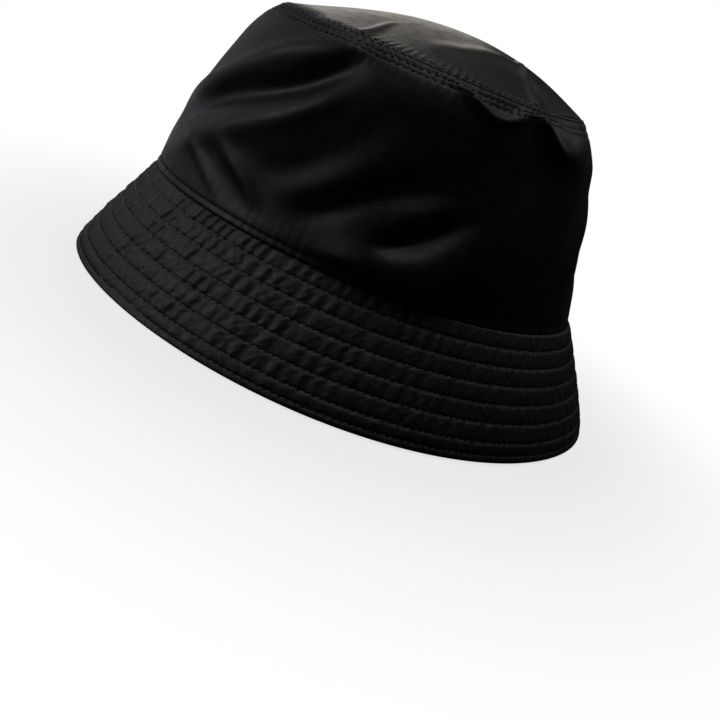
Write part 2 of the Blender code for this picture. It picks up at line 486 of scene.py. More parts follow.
threadFinish = {
    "dark": (0.006, 0.006, 0.006),
    "light": (0.024, 0.024, 0.026),
    "twists": 1.5,
    "plyDepth": 0.00004,
    "roughness": (0.6, 0.42),  # between the plies, on the plies
    "specular": 1.0,
    "sheen": 0.1,
}
# the crown thread, black like the cloth, keeps the painted shade between its plies
dullThreadFinish = {
    **threadFinish,
    "dark": (0.0015, 0.0015, 0.0015),
    "light": (0.003, 0.003, 0.003),
    "specular": 0.05,
}
brimThread = threadMaterial("brimThread", threadFinish)
crownThread = threadMaterial("crownThread", dullThreadFinish)
print("materials made")


def finishPiece(piece, material, slotName, *nodes):
    piece.data.materials.clear()
    piece.data.materials.append(material)
    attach(piece, "root")
    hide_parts(*nodes)


brim = {
    "rows": 6,
    "edgeRowInset": 0.0025,
    "cloth": 0.0005,
    "layerGap": 0.0001,
    "foldRadius": 0.0009,  # the edge is folded under round this radius
    "foldInside": 0.0005,
    "bow": 0.0004,
    "curlBack": 0.0010,
    "curlFront": 0.0003,
    "curlBands": 1.3,
    "puff": 0.00027,
    "groove": 0.00034,
    "grooveWidth": 0.00042,
    "footDip": 0.0010,
    "girth": 0.72,
    "pucker": 0.00028,
    "puckerWidth": 0.0072,
    "slant": -0.0035,
    "puckerShares": {"shared": 0.35, "broad": 0.4, "fine": 0.48, "own": 0.8},
    "puckered": 0.95,
    "morePuckered": [(-35, 32, 0.5), (-92, 26, 0.8)],  # degrees round, spread in degrees, added strength
    "around": 900,
    # gentle waves: degrees round, spread in degrees and metres outward at the edge
    "waves": [
        (-52, 14, -0.0009), (-85, 16, 0.0006), (-150, 30, 0.0010),
        (120, 25, -0.0010), (20, 40, 0.0006),
    ],
}
bands = brim["rows"] + 1
edgeRow = brim["edgeRowInset"] / hat["brimSlant"]
brimRows = [1 - k / bands for k in range(1, bands)] + [edgeRow]


def brimBase(turn, up):
    return oval(turn, between(hat["brimEdge"], hat["foot"], up), up * hat["footHeight"])


def brimWave(turn, up):
    wave = 0
    for degrees, spread, lift in brim["waves"]:
        wave = wave + lift * bump(degreesFrom(turn, degrees), 0, spread)
    return wave * np.clip(1 - up, 0, 1.1) ** 1.5


# the brim's broad shape, without rows and puckers: a slight bow, an edge that curls in, and the waves
def brimShape(turn, up):
    curl = mix(brim["curlFront"], brim["curlBack"], backness(turn))
    shape = brim["bow"] * 4 * np.clip(up, 0, 1) * (1 - np.clip(up, 0, 1))
    return shape - curl * np.clip(1 - up * bands / brim["curlBands"], 0, 1) ** 2 + brimWave(turn, up)


# share of the way across its own band, 0 at the row below and 1 at the row above, and the band's number
def bandShare(up):
    band = np.floor(up * bands)
    low = band / bands
    high = (band + 1) / bands
    low = np.where(up < edgeRow, 0.0, np.where(band <= 0, edgeRow, low))
    high = np.where(up < edgeRow, edgeRow, high)
    return np.clip((up - low) / (high - low), 0, 1), np.where(up < edgeRow, -1, band)


# the upper cloth puffs between its rows of stitching and puckers across them
def brimLift(turn, up):
    turn, up = np.broadcast_arrays(turn, up)
    share, band = bandShare(up)
    arch = np.clip(4 * share * (1 - share), 0, 1) ** 0.75
    size = np.where(up < edgeRow, 0.4, 1.0)
    lift = brim["puff"] * (size * arch - 0.7)
    for row in brimRows:
        away = (up - row) * hat["brimSlant"]
        lift = lift - brim["groove"] * bump(away, 0, brim["grooveWidth"])
    count = brim["girth"] / brim["puckerWidth"]
    turned = turn + brim["slant"] * (up * bands)
    shared = ripple(turned, count, 21, 0.5, 7)
    broad = ripple(turned, count * 0.5, 22, 0.5, 7)
    fine = ripple(turned + 0.002 * np.sin(9 * up * bands), count * 2.1, 23, 0.4, 7)
    parts = brim["puckerShares"]
    everyBand = parts["shared"] * shared + parts["broad"] * broad + parts["fine"] * fine
    pull = np.zeros(turn.shape)
    for k in range(-1, bands):
        here = band == k
        if here.any():
            own = ripple(turned[here] + 0.0012 * share[here], count, 40 + k, 0.5, 7)
            pull[here] = everyBand[here] + parts["own"] * own
    strength = brim["puckered"]
    for degrees, spread, more in brim["morePuckered"]:
        strength = strength + more * bump(degreesFrom(turn, degrees), 0, spread)
    strength = strength * (0.35 + 0.65 * ease(0.0, 0.30, up))
    lift = lift + brim["pucker"] * strength * pull * (0.4 + 0.6 * arch) * size
    return lift + brimShape(turn, up) - brim["footDip"] * ease(0.985, 1.0, up)


# row heights packed closer at the stitch rows
def brimHeights(top, low, perBand=11):
    marks = [low, edgeRow] + [k / bands for k in range(1, bands)] + [top]
    heights = []
    for start, end in zip(marks[:-1], marks[1:]):
        steps = max(3, round(perBand * (end - start) * bands))
        across = np.linspace(0, 1, steps, endpoint=False)
        heights += list(mix(start, end, mix(across, 0.5 - 0.5 * np.cos(np.pi * across), 0.55)))
    return heights + [top]


# the cloth runs down its outside, up its inside, and down again into a fold that turns the edge under
def makeBrimUpper():
    wrap = brim["foldRadius"]
    thin = brim["foldInside"]
    start = 1.05 * wrap / hat["brimSlant"]
    flap = start + 0.012
    calm = 0.3  # the hidden layers follow the relief this much
    rows = [(up, 0, 1, 0) for up in brimHeights(1.012, start)]
    depth = brim["cloth"] + brim["layerGap"]
    inner = [(up, depth, calm, 0) for up in np.linspace(1.010, start, 14)]
    fold = []
    for angle in np.linspace(0.15, 1, 6) * np.pi:
        fold.append((start, wrap - thin * math.cos(angle), calm, thin * math.sin(angle)))
    under = [(flap, wrap + thin, calm, 0), (flap, 2 * wrap, calm, 0)]
    lip = []
    for angle in np.linspace(1, 0, 8)[:-1] * np.pi:
        relief = mix(1, calm, angle / np.pi)
        lip.append((start, wrap - wrap * math.cos(angle), relief, wrap * math.sin(angle)))
    rings = layRings(brimBase, brimLift, turnsOf(brim["around"]), rows + inner + fold + under + lip)
    return clothMesh("brimUpper", rings, 0.70)


brimUpper = makeBrimUpper()
finishPiece(brimUpper, brimCloth, "brim_cloth", "brim_upper")


# depths below the upper cloth's face
brimLayers = {
    "stiffTop": 0.0008,
    "stiffBottom": 0.0013,
    "underTop": 0.0016,
    "underBottom": 0.0021,
    "underPuff": 0.00045,
    "underPucker": 0.00014,
    "underAround": 720,
    "stiffAround": 180,
}


# the underside puffs the other way
def underLift(turn, up):
    turn, up = np.broadcast_arrays(turn, up)
    share = bandShare(up)[0]
    arch = np.clip(4 * share * (1 - share), 0, 1) ** 0.6
    turned = turn + brim["slant"] * (up * bands)
    pull = 0.6 * ripple(turned, 120, 31) + 0.5 * ripple(turned, 75, 32)
    lift = brimShape(turn, up) - brimLayers["underPuff"] * arch
    return lift - brimLayers["underPucker"] * pull * (0.3 + 0.7 * arch)


def makeBrimUnder():
    low, high = 0.030, 0.985
    turns = turnsOf(brimLayers["underAround"])
    hidden = [(up, brimLayers["underTop"], 1, 0) for up in np.linspace(low, high, 10)]
    visible = [(up, brimLayers["underBottom"], 1, 0) for up in reversed(brimHeights(high, low, 8))]
    back = layRings(brimBase, brimShape, turns, hidden)
    body = layRings(brimBase, underLift, turns, visible)
    return clothMesh("brimUnder", np.concatenate([back, body]), 0.70)


brimUnder = makeBrimUnder()
finishPiece(brimUnder, brimCloth, "brim_cloth", "brim_under")


def makeInterlining():
    rows = layerRows(np.linspace(0.032, 0.975, 16), brimLayers["stiffTop"], brimLayers["stiffBottom"])
    rings = layRings(brimBase, brimShape, turnsOf(brimLayers["stiffAround"]), rows)
    return clothMesh("brimInterlining", rings, 0.70)


brimInterlining = makeInterlining()
finishPiece(brimInterlining, stiffCloth, "interlining", "brim_interlining")


# the swells are shares of the crown's height and metres outward, at the front and at the centre back
crown = {
    "cloth": 0.0005,
    "frontSwell": [
        (0, 0.0006), (0.2, 0.0042), (0.45, 0.0058), (0.7, 0.0060),
        (0.87, 0.0050), (0.94, 0.0032), (1, 0),
    ],
    "backSwell": [
        (0, -0.0012), (0.2, 0.0016), (0.45, 0.0036), (0.7, 0.0064),
        (0.87, 0.0083), (0.94, 0.0088), (1, 0.0078),
    ],
    "backRise": 0.0035,
    "riseSpread": (75, 35),  # degrees round, spread in degrees
    "lip": 0.00035,
    "footRow": 0.0022,
    "sideRows": (0.0024, 0.0044),
    "rowDepth": 0.00026,
    "rowWidth": 0.00045,
    "seamRadius": 0.0008,
    "seamPucker": 0.00022,
    "puckerReach": 0.0058,
    "puckerWidth": 0.0033,
    "seamGirth": 0.42,
    "gatherSlant": 0.6,
    "foldGirth": 0.082,
    "slack": 0.00030,
    "footWrinkle": 0.00010,
    "hem": 0.0004,
    "around": 720,
}

# each fold is its points of degrees round and share of the height, then its width and its lift in metres;
# 0 degrees is the wearer's left, -90 the front, 90 the centre back and 180 the wearer's right
crownFolds = [
    ([(-94, 0.33), (-83, 0.45), (-72, 0.56), (-61, 0.70), (-50, 0.82), (-39, 0.89), (-29, 0.94)],
     0.0056, 0.0025),
    ([(-86, 0.27), (-75, 0.39), (-65, 0.50), (-53, 0.60), (-43, 0.69), (-35, 0.79), (-28, 0.89)],
     0.0056, -0.0044),
    ([(-70, 0.20), (-61, 0.31), (-52, 0.41), (-41, 0.53), (-33, 0.64), (-28, 0.75)], 0.0062, 0.0029),
    ([(-47, 0.36), (-37, 0.31), (-28, 0.41), (-18, 0.60), (-11, 0.77)], 0.0074, -0.0020),
    ([(-66, 0.19), (-52, 0.19), (-40, 0.18), (-28, 0.19), (-19, 0.22), (-12, 0.26)], 0.0110, -0.0028),
    ([(-27, 0.17), (-20, 0.26), (-12, 0.38), (-4, 0.48), (5, 0.57)], 0.0052, -0.0026),
    ([(-10, 0.21), (-4, 0.33), (3, 0.42), (12, 0.51)], 0.0038, 0.0010),
    ([(-7, 0.19), (-1, 0.24), (5, 0.33), (14, 0.47)], 0.0036, -0.0026),
    ([(-10, -0.04), (-5, 0.00), (0, 0.05), (5, 0.12), (11, 0.21), (18, 0.33), (23, 0.47), (27, 0.62)],
     0.0120, 0.0059),
    ([(-18, 0.00), (-13, 0.05), (-9, 0.11), (-5, 0.17)], 0.0078, 0.0031),
    ([(-69, 0.25), (-62, 0.20), (-55, 0.14), (-48, 0.07)], 0.0026, 0.0012),
    ([(-56, 0.32), (-50, 0.26), (-43, 0.20), (-37, 0.12)], 0.0032, 0.0017),
    ([(-4, 0.995), (3, 0.965), (8, 0.92), (13, 0.89), (18, 0.905), (23, 0.95), (27, 0.99)],
     0.0023, 0.0021),
    ([(27, 0.99), (29, 0.96), (31, 0.93), (34, 0.89), (38, 0.850), (43, 0.835), (50, 0.85)],
     0.0028, 0.0026),
    ([(32, 0.98), (36, 0.93), (42, 0.89), (50, 0.88), (60, 0.885)], 0.0060, 0.0028),
    ([(150, 0.20), (162, 0.34), (172, 0.50), (184, 0.66), (196, 0.80)], 0.0055, 0.0018),
    ([(140, 0.26), (150, 0.42), (160, 0.58), (171, 0.74), (182, 0.88)], 0.0050, -0.0020),
    ([(186, 0.14), (200, 0.26), (213, 0.40), (224, 0.56), (236, 0.70)], 0.0048, 0.0018),
    ([(178, 0.12), (190, 0.32), (203, 0.46), (214, 0.62), (224, 0.78)], 0.0046, -0.0018),
    ([(64, 0.18), (76, 0.30), (88, 0.44), (98, 0.60), (106, 0.76)], 0.0052, -0.0016),
    ([(54, 0.26), (64, 0.42), (76, 0.57), (86, 0.72), (94, 0.86)], 0.0050, 0.0014),
    ([(112, 0.16), (120, 0.34), (126, 0.52), (134, 0.68)], 0.0050, 0.0016),
    ([(238, 0.30), (246, 0.46), (256, 0.60), (262, 0.74)], 0.0050, -0.0012),
]


# how much higher the tip seam sits behind the wearer's left
def backRise(turn):
    degrees, spread = crown["riseSpread"]
    return crown["backRise"] * bump(degreesFrom(turn, degrees), 0, spread)


# gathers that cross the tip seam, at a distance from it along the cloth
def seamGather(turn, away):
    count = crown["seamGirth"] / crown["puckerWidth"]
    gather = ripple(turn + crown["gatherSlant"] * away, count, 61, 0.12)
    return crown["seamPucker"] * gather * np.exp(-((away / crown["puckerReach"]) ** 2))


def crownBase(turn, up):
    front = softCurve(up, crown["frontSwell"])
    back = softCurve(up, crown["backSwell"])
    high = backRise(turn)
    swell = mix(front, back, backness(turn)) - 1.6 * high * ease(0.8, 1.02, up)
    width, length, forward = between(hat["foot"], hat["tipSeam"], up)
    height = mix(hat["footHeight"], hat["seamHeight"], up) + high * ease(0.7, 1.05, up)
    return oval(turn, (width + swell, length + swell, forward), height)


# the cloth rounds over into the tip seam
def seamDip(away):
    radius = crown["seamRadius"]
    short = np.clip(radius - away, 0, radius)
    return radius - np.sqrt(np.clip(radius**2 - short**2, 0, None))


# folds are held flatter at the foot, and end at the tip seam
def crownFold(turn, up):
    sewnDown = (0.25 + 0.75 * ease(0, 0.10, up)) * ease(-0.004, 0.040, 1 - up)
    return drawFolds(turn, up, crownFolds, crown["foldGirth"], hat["crownSlant"]) * sewnDown


backSeam = {
    "degrees": 90,
    "girth": 0.085,
    "dip": 0.0006,
    "width": 0.0006,
    "ridge": 0.00022,
    "ridgeAside": 0.0013,
    "ridgeWidth": 0.0009,
    "groove": 0.00015,
    "rowAside": 0.0022,
    "rowWidth": 0.0004,
    "pucker": 0.00012,
    "puckers": 22,
    "puckerReach": 0.004,
}


# the centre-back seam: a dip between two soft ridges, with a groove for the thread row on each side
def backSeamLift(turn, up, fromFoot):
    aside = np.radians(degreesFrom(turn, backSeam["degrees"])) * backSeam["girth"]
    lift = -backSeam["dip"] * bump(aside, 0, backSeam["width"]) * ease(0, 0.002, fromFoot)
    lift = lift + backSeam["ridge"] * bump(np.abs(aside), backSeam["ridgeAside"], backSeam["ridgeWidth"])
    lift = lift - backSeam["groove"] * bump(np.abs(aside), backSeam["rowAside"], backSeam["rowWidth"])
    pucker = np.sin(tau * backSeam["puckers"] * up + 3 * np.sin(9 * up))
    return lift + backSeam["pucker"] * pucker * bump(aside, 0, backSeam["puckerReach"])


def crownLift(turn, up):
    turn, up = np.broadcast_arrays(turn, up)
    fromFoot = up * hat["crownSlant"]
    fromSeam = (1 - up) * hat["crownSlant"]
    lift = crownFold(turn, up)
    quiet = ease(0, 0.012, fromFoot) * ease(0, 0.010, fromSeam)
    slack = ripple(turn + 0.06 * up, 7, 51, 0.6) * np.sin(3.1 * up + 0.6)
    slack = slack + 0.6 * ripple(turn - 0.05 * up, 13, 52, 0.5)
    lift = lift + crown["slack"] * slack * quiet
    # proud lip over the brim, with its stitch row
    lift = lift + crown["lip"] * (1 - ease(0.0002, 0.0018, fromFoot))
    lift = lift - crown["rowDepth"] * bump(fromFoot, crown["footRow"], crown["rowWidth"])
    wrinkle = ripple(turn + 0.004 * up, 0.58 / 0.0045, 55)
    lift = lift + crown["footWrinkle"] * wrinkle * np.exp(-fromFoot / 0.006)
    # the tip seam with its gathers and two rows
    lift = lift + seamGather(turn, fromSeam)
    for row in crown["sideRows"]:
        lift = lift - crown["rowDepth"] * bump(fromSeam, row, crown["rowWidth"])
    return lift - seamDip(fromSeam) + backSeamLift(turn, up, fromFoot)


# rings lie closer at the foot and at the tip seam
def makeCrownSide():
    hem = crown["hem"]
    start = hem / hat["crownSlant"] - 0.006
    near = np.linspace(start, 0.09, 14, endpoint=False)
    middle = np.linspace(0.09, 0.91, 52, endpoint=False)
    last = 1 - np.linspace(0.09 ** 0.6, 0, 18) ** (1 / 0.6)
    rows = [(up, 0, 1, 0) for up in np.concatenate([near, middle, last])]
    inner = [(up, crown["cloth"], 1, 0) for up in np.linspace(1, 0.05, 46)]
    inner += [(start, 2 * hem, 1, 0)]
    lip = []
    for angle in np.linspace(0.85, 0.15, 5) * np.pi:
        lip.append((start, hem - hem * math.cos(angle), 1, hem * math.sin(angle)))
    rings = layRings(crownBase, crownLift, turnsOf(crown["around"]), rows + inner + lip)
    return clothMesh("crownSide", rings, 0.54)


crownSide = makeCrownSide()
finishPiece(crownSide, crownCloth, "crown_cloth", "crown_side")


tip = {
    "cloth": 0.0005,
    "rise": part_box("crown_tip")[1].z - hat["seamHeight"],
    "squareness": 2.4,
    "leanBack": 0.0018,
    "drop": 0.0022,
    "row": 0.0022,
    "foldGirth": 0.055,
    "slack": 0.0005,
    "around": 700,
}

# as on the crown side, but the second number is the share of the way in from the tip seam
tipFolds = [
    ([(-12, 0.25), (0, 0.32), (15, 0.41), (31, 0.43), (43, 0.38), (51, 0.29)], 0.0060, 0.0022),
    ([(30, 0.02), (32, 0.12), (36, 0.24), (41, 0.37), (46, 0.48)], 0.0019, 0.0018),
    ([(37, 0.02), (41, 0.13), (47, 0.26), (56, 0.40)], 0.0042, -0.0018),
    ([(-37, 0.01), (-36, 0.12), (-38, 0.26), (-41, 0.42)], 0.0022, 0.0012),
    ([(110, 0.05), (118, 0.20), (130, 0.34)], 0.0046, 0.0014),
    ([(190, 0.05), (182, 0.20), (170, 0.36)], 0.0050, -0.0013),
]


# the top panel, from the tip seam in to its middle
def tipBase(turn, inward):
    across = 1 - inward
    width, length, forward = hat["tipSeam"]
    high = backRise(turn) * across**2
    shift = crown["backSwell"][-1][1] * backness(turn) * np.abs(across) * across
    shift = shift - 1.6 * high * across * ease(0.8, 1.02, 1)
    lean = tip["leanBack"] * np.sin(tau * turn) - 1.3 * tip["drop"] * across
    lean = lean * 2.6 * across * (1 - across**2)
    level = hat["seamHeight"] + tip["rise"] * (1 - np.abs(across) ** tip["squareness"]) + lean
    level = level + high * ease(0.7, 1.05, 1)
    return oval(turn, (width * across + shift, length * across + shift, forward), level)


def tipLift(turn, inward):
    turn, inward = np.broadcast_arrays(turn, inward)
    away = inward * hat["tipRadius"]
    lift = drawFolds(turn, inward, tipFolds, tip["foldGirth"], hat["tipRadius"])
    lift = lift * ease(0, 0.2, 1 - inward) * ease(0, 0.05, inward)
    lift = lift + seamGather(turn, -away)
    lift = lift - crown["rowDepth"] * bump(away, tip["row"], 0.0004)
    lift = lift - seamDip(away)
    slack = ripple(turn, 6, 71, 0.5) * np.sin(5 * inward) * ease(0.12, 0.65, 1 - inward)
    return lift + tip["slack"] * slack * ease(0, 0.15, inward)


def makeCrownTip():
    near = np.linspace(0, 0.10 ** 0.6, 20) ** (1 / 0.6)
    far = np.linspace(0.10, 0.985, 62)[1:]
    outer = [(inward, 0, 1, 0) for inward in np.concatenate([near, far])]
    inner = [(inward, tip["cloth"], 1, 0) for inward in np.linspace(0.985, 0, 20)]
    rings = layRings(tipBase, tipLift, turnsOf(tip["around"]), outer + inner)
    return clothMesh("crownTip", rings, None, len(outer) - 1)


crownTip = makeCrownTip()
finishPiece(crownTip, crownCloth, "crown_cloth", "crown_tip")


inside = {
    "liningDepth": 0.0016,
    "lining": 0.0004,
    "slack": 0.0022,
    "tipSlack": 0.0012,
    "bandHeight": 0.032,
    "band": 0.0008,
    "bandDepth": 0.0028,
    "bandRow": 0.0020,
    "bandBelly": 0.0003,
    "bandGape": 0.0012,
    "bandRidge": 0.0002,
    "bandPucker": 0.00012,
}


# the lining hangs loosely inside the crown and follows its folds
def liningLift(turn, up):
    turn, up = np.broadcast_arrays(turn, up)
    hang = np.sin(np.pi * np.clip(up, 0, 1))
    pleats = ripple(turn + 0.03 * up, 26, 81, 0.5) * 0.5 + ripple(turn - 0.04 * up, 11, 82, 0.5) * 0.5
    return 0.9 * crownFold(turn, up) - inside["slack"] * hang * (0.8 + 0.6 * pleats)


def makeLiningSide():
    depth = inside["liningDepth"]
    rows = layerRows(np.linspace(0.03, 0.985, 44), depth, depth + inside["lining"])
    return clothMesh("liningSide", layRings(crownBase, liningLift, turnsOf(480), rows), 0.52)


liningSide = makeLiningSide()
finishPiece(liningSide, liningCloth, "lining", "lining_side")


def liningTipLift(turn, inward):
    turn, inward = np.broadcast_arrays(turn, inward)
    pleats = ripple(turn, 9, 83, 0.5) * ease(0.02, 0.3, inward) * ease(0, 0.5, 1 - inward)
    return -inside["tipSlack"] * (1.5 + 0.5 * pleats)


def makeLiningTip():
    inwards = np.linspace(0.025, 0.98, 36)
    depth = inside["liningDepth"]
    rows = layerRows(inwards, depth, depth + inside["lining"])
    rings = layRings(tipBase, liningTipLift, turnsOf(360), rows)
    return clothMesh("liningTip", rings, None, len(inwards) - 1)


liningTip = makeLiningTip()
finishPiece(liningTip, liningCloth, "lining", "lining_tip")


# the sweatband stands in the foot of the crown, and its upper edge gapes a little
def bandLift(turn, up):
    turn, up = np.broadcast_arrays(turn, up)
    height = up * hat["crownSlant"]
    share = height / inside["bandHeight"]
    row = inside["bandRow"]
    lift = -inside["bandBelly"] * np.sqrt(np.clip(np.sin(np.pi * np.clip(share, 0, 1)), 0, 1))
    lift = lift + np.minimum(crownFold(turn, up), 0)
    lift = lift + inside["bandRidge"] * bump(height, row, 0.0005)
    lift = lift - inside["bandGape"] * ease(0.6, 1, share) * (0.5 + 0.5 * ripple(turn, 9, 91, 0.5))
    return lift + inside["bandPucker"] * ripple(turn, 90, 92) * bump(height, row, 0.004)


def makeSweatband():
    top = inside["bandHeight"] / hat["crownSlant"]
    ups = np.concatenate([np.linspace(0.002, 0.06, 10), np.linspace(0.07, top, 22)])
    depth = inside["bandDepth"]
    thick = inside["band"]
    outer = [(up, depth, 1, 0) for up in ups]
    roll = [(top, depth + thick * 0.5, 0.5, -0.0005)]
    inner = [(up, depth + thick, 1, 0) for up in ups[::-1]]
    rings = layRings(crownBase, bandLift, turnsOf(540), outer + roll + inner)
    return clothMesh("sweatBand", rings, 0.56)


sweatband = makeSweatband()
finishPiece(sweatband, bandCloth, "sweatband", "sweatband")


stitch = {
    "plain": {"Pitch": 0.0030, "Length": 0.0026, "Thickness": 0.00042, "Dip": 0.00030, "Swing": 0.05},
    "brim": {"Thickness": 0.00046},  # where it differs from the plain row
    "foot": {"Pitch": 0.0026, "Length": 0.0022, "Thickness": 0.00036},
    "tipSeam": {"Thickness": 0.00056},
    "above": 0.00010,
    "aboveBrim": 0.00016,
    "backAside": 1.5,  # degrees from the centre-back seam
    "pathPoints": 1440,
}


# a thread row is one bead for each stitch, laid along the path and facing out of the cloth
def makeStitchTree():
    tree, given, result = newGroup(
        "GeometryNodeTree", "stitchRow",
        [
            ("Path", "NodeSocketGeometry", None),
            *[(label, "NodeSocketFloat", value) for label, value in stitch["plain"].items()],
            ("Seed", "NodeSocketInt", 1),
            ("Thread", "NodeSocketMaterial", None),
        ],
        [("Stitches", "NodeSocketGeometry")],
    )
    line = addNode(tree, "GeometryNodeMeshToCurve", {"Mesh": given["Path"]})
    spaced = addNode(
        tree, "GeometryNodeResampleCurve", {"Curve": line, "Length": given["Pitch"]}, mode="LENGTH",
    )
    tangent = addNode(tree, "GeometryNodeInputTangent")
    outward = addNode(
        tree, "GeometryNodeInputNamedAttribute", {"Name": "clothNormal"}, data_type="FLOAT_VECTOR",
    )
    axes = {"primary_axis": "X", "secondary_axis": "Z"}
    turned = addNode(tree, "FunctionNodeAxesToRotation", {0: tangent, 1: outward}, **axes)
    # one stitch: a rounded bead along X, its ends dipping into the cloth
    ball = addNode(tree, "GeometryNodeMeshUVSphere", {"Segments": 8, "Rings": 6, "Radius": 1.0})
    laid = addNode(tree, "GeometryNodeTransform", {"Geometry": ball, "Rotation": (0, math.pi / 2, 0)})
    place = addNode(tree, "GeometryNodeInputPosition")
    strand = addNode(
        tree, "GeometryNodeStoreNamedAttribute",
        {"Geometry": laid, "Name": "strand", "Value": place},
        data_type="FLOAT_VECTOR", domain="POINT",
    )
    parts = addNode(tree, "ShaderNodeSeparateXYZ", {0: place}).outputs
    squared = calculate(tree, "MULTIPLY", parts["X"], parts["X"])
    fuller = calculate(tree, "SQRT", calculate(tree, "ADD", squared, 1.0))
    half = calculate(tree, "MULTIPLY", given["Thickness"], 0.5)
    wide = calculate(tree, "MULTIPLY", fuller, half)
    halfLength = calculate(tree, "MULTIPLY", given["Length"], 0.5)
    long = calculate(tree, "MULTIPLY", halfLength, parts["X"])
    across = calculate(tree, "MULTIPLY", wide, parts["Y"])
    fourth = calculate(tree, "MULTIPLY", squared, squared)
    sunk = calculate(tree, "MULTIPLY", fourth, given["Dip"])
    raised = calculate(tree, "MULTIPLY", wide, parts["Z"])
    high = calculate(tree, "SUBTRACT", raised, sunk)
    spot = addNode(tree, "ShaderNodeCombineXYZ", {0: long, 1: across, 2: high})
    shaped = addNode(tree, "GeometryNodeSetPosition", {"Geometry": strand, "Position": spot})
    # each stitch swings a little to one side, and its size varies
    negative = calculate(tree, "MULTIPLY", given["Swing"], -1.0)
    swing = addNode(
        tree, "FunctionNodeRandomValue",
        {2: negative, 3: given["Swing"], "Seed": given["Seed"]}, data_type="FLOAT",
    )
    swingTurn = addNode(tree, "ShaderNodeCombineXYZ", {2: swing.outputs[1]})
    swinging = addNode(tree, "FunctionNodeEulerToRotation", {0: swingTurn})
    rotated = addNode(
        tree, "FunctionNodeRotateRotation",
        {"Rotation": turned, "Rotate By": swinging}, rotation_space="LOCAL",
    )
    seedTwo = calculate(tree, "ADD", given["Seed"], 7.0)
    size = addNode(tree, "FunctionNodeRandomValue", {2: 0.9, 3: 1.05, "Seed": seedTwo}, data_type="FLOAT")
    placed = addNode(
        tree, "GeometryNodeInstanceOnPoints",
        {"Points": spaced, "Instance": shaped, "Rotation": rotated, "Scale": size.outputs[1]},
    )
    real = addNode(tree, "GeometryNodeRealizeInstances", {"Geometry": placed})
    smooth = addNode(tree, "GeometryNodeSetShadeSmooth", {"Geometry": real})
    painted = addNode(tree, "GeometryNodeSetMaterial", {"Geometry": smooth, "Material": given["Thread"]})
    tree.links.new(painted.outputs[0], result[0])
    return tree


stitchTree = makeStitchTree()


# a thread path on a cloth: its points, the way out of the cloth, and whether it closes on itself
def threadPath(base, lift, turn, up, above, closed=True, flip=False):
    turn, up = np.broadcast_arrays(turn, up)
    outward = facing(base, turn, up)[0]
    rise = lift(turn, up) + above
    points = base(turn, up) + outward * rise[:, None]
    return points, -outward if flip else outward, closed


# sews one row along its paths; a row on both faces of the brim has two
def sewRow(name, paths, seed, nodes, thread=crownThread, **changes):
    points, normals, edges = [], [], []
    for path, outward, closed in paths:
        first = len(points)
        points += path.tolist()
        normals += outward.tolist()
        count = len(path)
        edges += [(first + k, first + (k + 1) % count) for k in range(count if closed else count - 1)]
    mesh = bpy.data.meshes.new(name + "Path")
    mesh.from_pydata(points, edges, [])
    mesh.attributes.new("clothNormal", "FLOAT_VECTOR", "POINT").data.foreach_set(
        "vector", np.array(normals, np.float32).ravel()
    )
    seam = bpy.data.objects.new(name + "Path", mesh)
    scene.collection.objects.link(seam)
    sewing = seam.modifiers.new("stitches", "NODES")
    sewing.node_group = stitchTree
    values = {**stitch["plain"], "Seed": seed, "Thread": thread, **changes}
    for item in stitchTree.interface.items_tree:
        if item.in_out == "INPUT" and item.name in values:
            sewing[item.identifier] = values[item.name]
    ready = seam.evaluated_get(bpy.context.evaluated_depsgraph_get())
    sewn = bpy.data.meshes.new_from_object(ready)
    sewn.name = name
    row = bpy.data.objects.new(name, sewn)
    scene.collection.objects.link(row)
    bpy.data.objects.remove(seam)
    finishPiece(row, thread, "thread", *nodes)
    print("sewed", name, len(sewn.polygons), "faces")
    return row


ring = turnsOf(stitch["pathPoints"])
above = stitch["above"]
for k, row in enumerate(brimRows):
    isEdge = k == brim["rows"]
    name = "brimEdgeStitch" if isEdge else f"brimStitch{k + 1}"
    nodeName = "brim_edge_stitch" if isEdge else f"brim_stitch_{k + 1}"
    top = threadPath(brimBase, brimLift, ring, row, stitch["aboveBrim"])
    below = threadPath(brimBase, underLift, ring, row, -brimLayers["underBottom"] - above, flip=True)
    sewRow(name, [top, below], 100 + k, [nodeName], brimThread, **stitch["brim"])

path = threadPath(crownBase, crownLift, ring, crown["footRow"] / hat["crownSlant"], above)
footStitch = sewRow("footStitch", [path], 120, ["foot_stitch"], **stitch["foot"])
for k, inset in enumerate(crown["sideRows"]):
    path = threadPath(crownBase, crownLift, ring, 1 - inset / hat["crownSlant"], above)
    row = sewRow(f"sideStitch{k + 1}", [path], 130 + k, [f"side_stitch_{k + 1}"], **stitch["tipSeam"])
path = threadPath(tipBase, tipLift, ring, tip["row"] / hat["tipRadius"], above)
tipStitch = sewRow("tipStitch", [path], 140, ["tip_stitch"], **stitch["tipSeam"])
backUps = np.linspace(0.05, 0.93, 260)
for side, aside in (("Left", -stitch["backAside"]), ("Right", stitch["backAside"])):
    turn = (backSeam["degrees"] + aside) / 360
    path = threadPath(crownBase, crownLift, turn, backUps, above, closed=False)
    sewRow(f"backStitch{side}", [path], 150, [f"back_stitch_{side.lower()}"])
bandUp = inside["bandRow"] / hat["crownSlant"]
bandFace = -inside["bandDepth"] - inside["band"] - above
path = threadPath(crownBase, bandLift, ring, bandUp, bandFace, flip=True)
sweatbandStitch = sewRow("sweatbandStitch", [path], 160, ["sweatband_stitch"])
print("stitches sewn")


